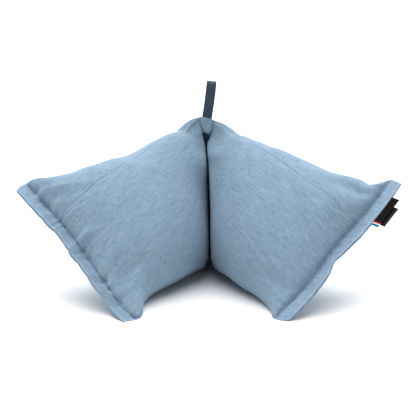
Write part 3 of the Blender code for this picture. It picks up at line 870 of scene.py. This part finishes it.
def bead_faces(rings, sides):
    """The faces of a bead: rings of points between a point at each end."""
    body = grid_faces(rings, sides) + 1
    j = np.arange(sides)
    k = (j + 1) % sides
    last = (rings - 1) * sides + 1
    start = np.stack([np.zeros_like(j), k + 1, j + 1], axis=1)
    end = np.stack([last + j, last + k, np.full_like(j, last + sides)], axis=1)
    return body, np.concatenate([start, end])


def stitch_shape(places, half_length, hand):
    """Beads along a line: each point's place on the line, and its offsets across and off it.

    A bead's radius is the root of 1 less a power of its place between its ends, and it dips
    into the cloth by another power. hand is 1, or -1 where the line, its across and its off
    make a left hand's frame. It keeps the faces outwards.
    """
    run = np.linspace(-LAST_RING, LAST_RING, STITCH_RINGS)
    thick = THREAD_RADIUS * (1 - run ** BEAD_POWER) ** 0.5
    angle = 2 * np.pi * np.arange(STITCH_SIDES) / STITCH_SIDES
    ring = np.broadcast_to(run[:, None], (STITCH_RINGS, STITCH_SIDES)).ravel()
    across = (hand * thick[:, None] * np.cos(angle)).ravel()
    off = (thick[:, None] * np.sin(angle)).ravel()
    along = np.concatenate([[-1], ring, [1]])
    across = np.pad(across, 1)
    off = np.pad(off, 1) - DIP * THREAD_RADIUS * np.abs(along) ** DIP_POWER
    return places[:, None] + along * half_length, across[None], off[None]


def flange_stitches(side, face):
    """Stitches up the flange's own drawn-in surface, on its front (1) or back (-1)."""
    foot, ear, _, _ = flange_frame(side)
    size = np.linalg.norm(ear - foot)
    places = np.arange(STITCH_PITCH, size - STITCH_PITCH, STITCH_PITCH)
    along, across, off = stitch_shape(places, STITCH_LENGTH / 2, -side_sign(side) * face)
    up = along / size
    out = STITCH_OUT + np.broadcast_to(across, up.shape)
    waves = tuck_lift(FLANGE_TUCKS[side], np.clip(1 - up, 0, 1) * FLAT_HEIGHT, out)
    half = np.interp(STITCH_OUT, *FLANGE_PROFILE.T) - STITCH_SINK
    return flange_point(side, up, out, face * (half + STITCH_PROUD + off) + waves)


def fold_stitches(row, turns, face):
    """Stitches up the front (1) or back (-1) of a row of the fold's band, read off by height."""
    half = row[np.sin(turns) * face > 0]
    half = half[np.argsort(half[:, 2])]
    places = np.arange(2 * STITCH_PITCH, half[-1, 2] - STITCH_PITCH / 2, STITCH_PITCH)
    along, across, off = stitch_shape(places, STITCH_LENGTH / 2, -face)
    x = np.interp(along, half[:, 2], half[:, 0]) + across
    y = np.interp(along, half[:, 2], half[:, 1]) - face * (STITCH_PROUD + off)
    return np.stack([x, y, along], axis=-1)


stitched_rows = (band[FOLD_STITCH_ROW], band[-1 - FOLD_STITCH_ROW])
beads = [flange_stitches(side, face) for side in ("left", "right") for face in (1, -1)]
beads += [fold_stitches(row, left_turns[0], face) for row in stitched_rows for face in (1, -1)]
beads = np.concatenate(beads)
beads = beads[beads[..., 2].min(axis=1) > THREAD_RADIUS] + (FOLD_X, FOLD_Y, 0)
body, caps = bead_faces(STITCH_RINGS, STITCH_SIDES)
starts = np.arange(len(beads))[:, None, None] * beads.shape[1]
faces = (starts + body).reshape(-1, 4).tolist() + (starts + caps).reshape(-1, 3).tolist()
sewing = new_piece("stitching", beads.reshape(-1, 3), faces)

# Spun polyester thread: matt, and a shade deeper than the cloth, so the rows just read.
PLY_SIZE = 0.0006
THREAD_SHADE, THREAD_LIGHT = "#5c7a98", "#8aa3bd"
thread, tree, shader = new_material("spun polyester thread")
place = add_node(tree, "ShaderNodeTexCoord").outputs["Object"]
fuzz = add_node(tree, "ShaderNodeTexNoise", {"Vector": place, "Scale": 1 / PLY_SIZE, "Detail": 2.0})
ends = {"Factor": fuzz.outputs[0], "A": colour(THREAD_SHADE), "B": colour(THREAD_LIGHT)}
ply = add_node(tree, "ShaderNodeMix", ends, data_type="RGBA")
tree.links.new(ply.outputs["Result"], shader.inputs["Base Color"])
shader.inputs["Roughness"].default_value = 0.7
sewing.data.materials.append(thread)

# The hanging loop
# A strip of dark twill tape, 14 mm wide, folded over on itself. Both of its ends are caught
# under the top of the fold, and it stands up with a slight lean.
TAPE_WIDTH, TAPE_THICKNESS = 0.014, 0.0012
TAPE_BOXINESS, EDGE_BOXINESS = 0.35, 0.45
TAPE_MIDDLE, SELVEDGE_EXTRA, SELVEDGE = 0.88, 0.16, 0.0009     # two shares of it, and a width
LOOP_HEIGHT, LOOP_PART_HEIGHT, LOOP_GAP = 0.053, 0.006, 0.012
LOOP_X, LOOP_RAISED = 0.0015, 0.0003
LOOP_LEAN_FOOT, LOOP_LEAN_TOP = math.radians(9.6), math.radians(5.0)
LOOP_FOOT = (FOLD_TOP["left"] + FOLD_TOP["right"]) / 2 + FOLD_THICKNESS / 2 + LOOP_RAISED
TAPE_CAUGHT = 0.003
PATH_SAMPLES, LOOP_POINTS, TAPE_SIDES = 400, 121, 44
DROP_POWER, DROP_WIDEST_AT = 1.5, 0.75
DROP_WIDEST = DROP_WIDEST_AT ** DROP_POWER * (1 - DROP_WIDEST_AT) ** 0.5


def loop_path():
    """The middle of the tape seen from the side: up from the fold, round a drop, and down.

    The drop's half width is a power of the way up, times the root of what is left of it. The
    tape lies outside the gap by half its thickness.
    """
    angle = np.linspace(0, np.pi, PATH_SAMPLES)
    share = (1 - np.cos(angle)) / 2
    height = LOOP_PART_HEIGHT + share * (LOOP_HEIGHT - TAPE_THICKNESS - LOOP_PART_HEIGHT)
    half_gap = LOOP_GAP / 2 * share ** DROP_POWER * np.sqrt(1 - share) / DROP_WIDEST
    side = np.stack([half_gap, height], axis=1)
    slope = np.gradient(side, angle, axis=0)
    slope[-1] = (-1, 0)
    side = side + TAPE_THICKNESS / 2 * unit(np.stack([slope[:, 1], -slope[:, 0]], axis=1))
    side = np.concatenate([[(TAPE_THICKNESS / 2, -TAPE_CAUGHT)], side])
    whole = np.concatenate([side, side[-2::-1] * (-1, 1)])
    steps = np.concatenate([[0], np.cumsum(np.linalg.norm(np.diff(whole, axis=0), axis=1))])
    even = np.linspace(0, steps[-1], LOOP_POINTS)
    return np.stack([np.interp(even, steps, values) for values in whole.T], axis=1), even


def tube_faces(count, around):
    """The faces of a tube of rings, with one flat face at each end."""
    first = list(range(around))
    last = [(count - 1) * around + j for j in first]
    return grid_faces(count, around).tolist() + [first[::-1], last]


path, tape_run = loop_path()
along = unit(np.gradient(path, axis=0))
off = np.stack([along[:, 1], -along[:, 0]], axis=1)
angle = 2 * np.pi * (np.arange(TAPE_SIDES) + 0.5) / TAPE_SIDES
wide = signed_power(np.cos(angle), TAPE_BOXINESS) * TAPE_WIDTH / 2
thick = signed_power(np.sin(angle), EDGE_BOXINESS) * TAPE_THICKNESS / 2
off_selvedge = (TAPE_WIDTH / 2 - np.abs(wide) - SELVEDGE) / SELVEDGE
thick *= TAPE_MIDDLE + SELVEDGE_EXTRA * np.exp(-off_selvedge ** 2)
height = path[:, None, 1] + thick * off[:, None, 1]
bend = (math.tan(LOOP_LEAN_FOOT) - math.tan(LOOP_LEAN_TOP)) / (2 * LOOP_HEIGHT)
lean = height * math.tan(LOOP_LEAN_FOOT) - bend * height ** 2
tape = np.stack([
    FOLD_X + LOOP_X + wide + lean,
    FOLD_Y + FOLD_TOP_BACK + path[:, None, 0] + thick * off[:, None, 0],
    LOOP_FOOT + height - wide * (math.tan(LOOP_LEAN_FOOT) - 2 * bend * height),
], axis=-1)
faces = tube_faces(LOOP_POINTS, TAPE_SIDES)
uv = np.stack(np.broadcast_arrays(tape_run[:, None], wide), axis=-1).reshape(-1, 2)
loop = new_piece("hang_loop_tape", tape.reshape(-1, 3), faces, uv)
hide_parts("hang_loop")

# Cotton twill tape, herringbone woven: its slanting ribs meet in rows, and its edges, where
# the weft turns back, are thicker. Its colour grows darker towards both edges.
RIB_PITCH, HERRINGBONE_ROW = 0.0013, 0.0034
RIB_CONTRAST = 0.16
TAPE_GRAIN = (0.004, 0.0006)
RIBBON_DETAIL = 2.0
SELVEDGE_FROM, SELVEDGE_FULL, SELVEDGE_SHADE = 0.36 * TAPE_WIDTH, 0.49 * TAPE_WIDTH, -0.45
TAPE_DARK, TAPE_PALE = "#162737", "#354d62"


def woven_ribs(tree, run, pitch):
    """Ribs at this pitch along a length: a sine, from -1 to 1."""
    turned = add_node(tree, "ShaderNodeMath", {0: run, 1: 2 * math.pi / pitch}, operation="MULTIPLY")
    return add_node(tree, "ShaderNodeMath", {0: turned.outputs[0]}, operation="SINE").outputs[0]


herringbone, tree, shader = new_material("herringbone twill tape")
threads = add_node(tree, "ShaderNodeUVMap", uv_map="threads").outputs[0]
parts = add_node(tree, "ShaderNodeSeparateXYZ", {0: threads})
zigzag = add_node(
    tree, "ShaderNodeMath", {0: parts.outputs["Y"], 1: HERRINGBONE_ROW}, operation="PINGPONG",
)
sockets = {0: parts.outputs["X"], 1: zigzag.outputs[0]}
slanted = add_node(tree, "ShaderNodeMath", sockets, operation="ADD").outputs[0]
ribs = woven_ribs(tree, slanted, RIB_PITCH)
grain = thread_noise(tree, *TAPE_GRAIN, RIBBON_DETAIL)
across = add_node(tree, "ShaderNodeMath", {0: parts.outputs["Y"]}, operation="ABSOLUTE").outputs[0]
edge = add_node(
    tree, "ShaderNodeMapRange",
    {
        "Value": across, "From Min": SELVEDGE_FROM, "From Max": SELVEDGE_FULL,
        "To Min": 0.0, "To Max": SELVEDGE_SHADE,
    },
    interpolation_type="SMOOTHSTEP",
).outputs[0]
sockets = {0: ribs, 1: RIB_CONTRAST, 2: edge}
lit = add_node(tree, "ShaderNodeMath", sockets, operation="MULTIPLY_ADD").outputs[0]
lit = add_node(tree, "ShaderNodeMath", {0: lit, 1: grain}, operation="ADD").outputs[0]
ends = {"Factor": lit, "A": colour(TAPE_DARK), "B": colour(TAPE_PALE)}
weave = add_node(tree, "ShaderNodeMix", ends, data_type="RGBA", clamp_factor=True)
tree.links.new(weave.outputs["Result"], shader.inputs["Base Color"])
bump = add_node(tree, "ShaderNodeBump", {"Height": ribs, "Strength": 0.6, "Distance": 0.00012})
tree.links.new(bump.outputs[0], shader.inputs["Normal"])
shader.inputs["Roughness"].default_value = 0.8
shader.inputs["Sheen Weight"].default_value = 0.3
loop.data.materials.append(herringbone)

# The side label
# A black woven ribbon, folded in two and caught in the right flange's edge, with three thin
# coloured stripes across its lower end. It carries no lettering.
LABEL_THICKNESS = 0.0010
LABEL_CAUGHT = 0.0012
LABEL_CURL, CURL_POWER = 0.0009, 2
RIBBON_BOXINESS, RIBBON_EDGE_BOXINESS = 0.3, 0.5
LABEL_ROWS, LABEL_SIDES = 60, 26


def ribbon(start, length, reach, offset):
    """A folded ribbon: a flat ring with a round outer edge, carried down the right flange's edge.

    It starts this far down from the ear, is this long, stands this far out, and lies this far
    in front of the flange's middle. Its outer edge curls forwards between its ends, by a sine
    of the way down it times a power of the way out.
    """
    foot, ear, _, _ = flange_frame("right")
    size = np.linalg.norm(ear - foot) - EAR_SLANT["right"] - FOOT_SLANT["right"]
    angle = 2 * np.pi * (np.arange(LABEL_SIDES) + 0.5) / LABEL_SIDES
    swing = signed_power(np.cos(angle), RIBBON_BOXINESS)
    across = (reach - LABEL_CAUGHT) / 2 + (reach + LABEL_CAUGHT) / 2 * swing
    lift = LABEL_THICKNESS / 2 * signed_power(np.sin(angle), RIBBON_EDGE_BOXINESS)
    run = np.linspace(0, 1, LABEL_ROWS)[:, None]
    curl = LABEL_CURL * np.sin(np.pi * run) * (across / reach) ** CURL_POWER
    up = 1 - (start + length * run) / size
    up, across, lift = np.broadcast_arrays(up, across, lift + curl)
    points = flange_point("right", up, FLANGE_WIDTH + across, offset + lift)
    points = points.reshape(-1, 3) + (FOLD_X, FOLD_Y, 0)
    uv = np.stack(np.broadcast_arrays(length * run, across), axis=-1).reshape(-1, 2)
    return points, tube_faces(LABEL_ROWS, LABEL_SIDES), uv


SIDE_LABEL = (0.0255, 0.0515, 0.0123, 0.0009)         # start, length, reach and offset
points, faces, uv = ribbon(*SIDE_LABEL)
side_label = new_piece("side_label_ribbon", points, faces, uv)
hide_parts("side_label")

# Polyester satin ribbon, woven black: fine ribs across it, a soft sheen, and dyed stripes.
STRIPES = (
    # metres down the label, colour
    (0.0441, "#a81f2c"),
    (0.0468, "#dfe6ea"),
    (0.0483, "#1c6c9c"),
)
RIBBON_RIB = 0.0008                    # real ribs are under 0.4 mm apart; drawn coarser
RIBBON_GRAIN = (0.0030, 0.0005)
RIBBON_DARK, RIBBON_PALE = "#08080b", "#141418"
ribbon_cloth, tree, shader = new_material("woven polyester ribbon")
threads = add_node(tree, "ShaderNodeUVMap", uv_map="threads").outputs[0]
down_label = add_node(tree, "ShaderNodeSeparateXYZ", {0: threads}).outputs["X"]
grain = thread_noise(tree, *RIBBON_GRAIN, RIBBON_DETAIL)
ends = {"Factor": grain, "A": colour(RIBBON_DARK), "B": colour(RIBBON_PALE)}
shown = add_node(tree, "ShaderNodeMix", ends, data_type="RGBA").outputs["Result"]
for begins, code in STRIPES:
    sockets = {0: down_label, 1: begins}
    beyond = add_node(tree, "ShaderNodeMath", sockets, operation="GREATER_THAN").outputs[0]
    ends = {"Factor": beyond, "A": shown, "B": colour(code)}
    shown = add_node(tree, "ShaderNodeMix", ends, data_type="RGBA").outputs["Result"]
tree.links.new(shown, shader.inputs["Base Color"])
ribs = woven_ribs(tree, down_label, RIBBON_RIB)
bump = add_node(tree, "ShaderNodeBump", {"Height": ribs, "Strength": 0.3, "Distance": 0.0001})
tree.links.new(bump.outputs[0], shader.inputs["Normal"])
shader.inputs["Roughness"].default_value = 0.8
shader.inputs["Specular IOR Level"].default_value = 0.06
side_label.data.materials.append(ribbon_cloth)

# The care label
# A smaller ribbon of plain black satin behind the side label, caught in the same edge.
CARE_LABEL = (0.0378, 0.0335, 0.0185, -0.0009)        # start, length, reach and offset
points, faces, uv = ribbon(*CARE_LABEL)
care_label = new_piece("care_label_ribbon", points, faces, uv)
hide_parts("care_label")

# Black satin ribbon: long floats run along it and give it a silky, streaked shine.
FLOATS = (0.0060, 0.0004)              # real floats are 1 to 2 mm long; drawn longer to show
SATIN_DARK, SATIN_PALE = "#08080b", "#17181c"
SHINIEST, DULLEST = 0.44, 0.60
satin, tree, shader = new_material("black satin ribbon")
grain = thread_noise(tree, *FLOATS, RIBBON_DETAIL)
ends = {"Factor": grain, "A": colour(SATIN_DARK), "B": colour(SATIN_PALE)}
shown = add_node(tree, "ShaderNodeMix", ends, data_type="RGBA").outputs["Result"]
tree.links.new(shown, shader.inputs["Base Color"])
sockets = {"Value": grain, "To Min": SHINIEST, "To Max": DULLEST}
gloss = add_node(tree, "ShaderNodeMapRange", sockets).outputs[0]
tree.links.new(gloss, shader.inputs["Roughness"])
shader.inputs["Specular IOR Level"].default_value = 0.08
care_label.data.materials.append(satin)

# The floor and the light
# White studio paper under one broad soft lamp overhead, in a room whose back wall is the
# brightest and whose front wall is nearly dark.
FLOOR_REACH = 30
PAPER_WHITE = "#f3f3f3"
FRONT_WALL, BACK_WALL, SIDE_WALLS = 0.13, 1.42, 0.27
FRONT_WALL_END, BACK_WALL_START = -0.6, 0.8
LAMP_POWER, LAMP_SPREAD = 3.5, math.radians(67)
LAMP_BACK, LAMP_LEFT = math.radians(12), math.radians(1)
floor_mesh = bpy.data.meshes.new("floor")
sides = [(-1, -1), (1, -1), (1, 1), (-1, 1)]
corners = [(x * FLOOR_REACH, y * FLOOR_REACH, 0) for x, y in sides]
floor_mesh.from_pydata(corners, [], [(0, 1, 2, 3)])
floor = bpy.data.objects.new("floor", floor_mesh)
bpy.context.scene.collection.objects.link(floor)
paper, tree, shader = new_material("matt white paper")
shader.inputs["Base Color"].default_value = colour(PAPER_WHITE)
shader.inputs["Roughness"].default_value = 0.9
shader.inputs["Specular IOR Level"].default_value = 0.0
floor_mesh.materials.append(paper)

# The room's light depends on its direction: it grows from front to back and to both sides.
room = bpy.data.worlds.new("white room")
bpy.context.scene.world = room
room.use_nodes = True
tree = room.node_tree
towards = add_node(tree, "ShaderNodeTexCoord").outputs["Generated"]
towards = add_node(tree, "ShaderNodeSeparateXYZ", {0: towards})
walls = add_node(
    tree, "ShaderNodeMapRange",
    {
        "Value": towards.outputs["Y"], "From Min": FRONT_WALL_END, "From Max": BACK_WALL_START,
        "To Min": FRONT_WALL, "To Max": BACK_WALL,
    },
    interpolation_type="SMOOTHSTEP",
)
sockets = {0: towards.outputs["X"], 1: towards.outputs["X"]}
sideways = add_node(tree, "ShaderNodeMath", sockets, operation="MULTIPLY").outputs[0]
sockets = {0: sideways, 1: SIDE_WALLS, 2: walls.outputs[0]}
walls = add_node(tree, "ShaderNodeMath", sockets, operation="MULTIPLY_ADD")
tree.links.new(walls.outputs[0], tree.nodes["Background"].inputs["Strength"])
tree.nodes["Background"].inputs["Color"].default_value = colour("#ffffff")
lamp_data = bpy.data.lights.new("overhead", "SUN")
lamp_data.energy = LAMP_POWER
lamp_data.angle = LAMP_SPREAD
lamp = bpy.data.objects.new("overhead", lamp_data)
lamp.rotation_euler = (-LAMP_BACK, -LAMP_LEFT, 0.0)
bpy.context.scene.collection.objects.link(lamp)
bpy.context.scene.view_settings.view_transform = "Standard"
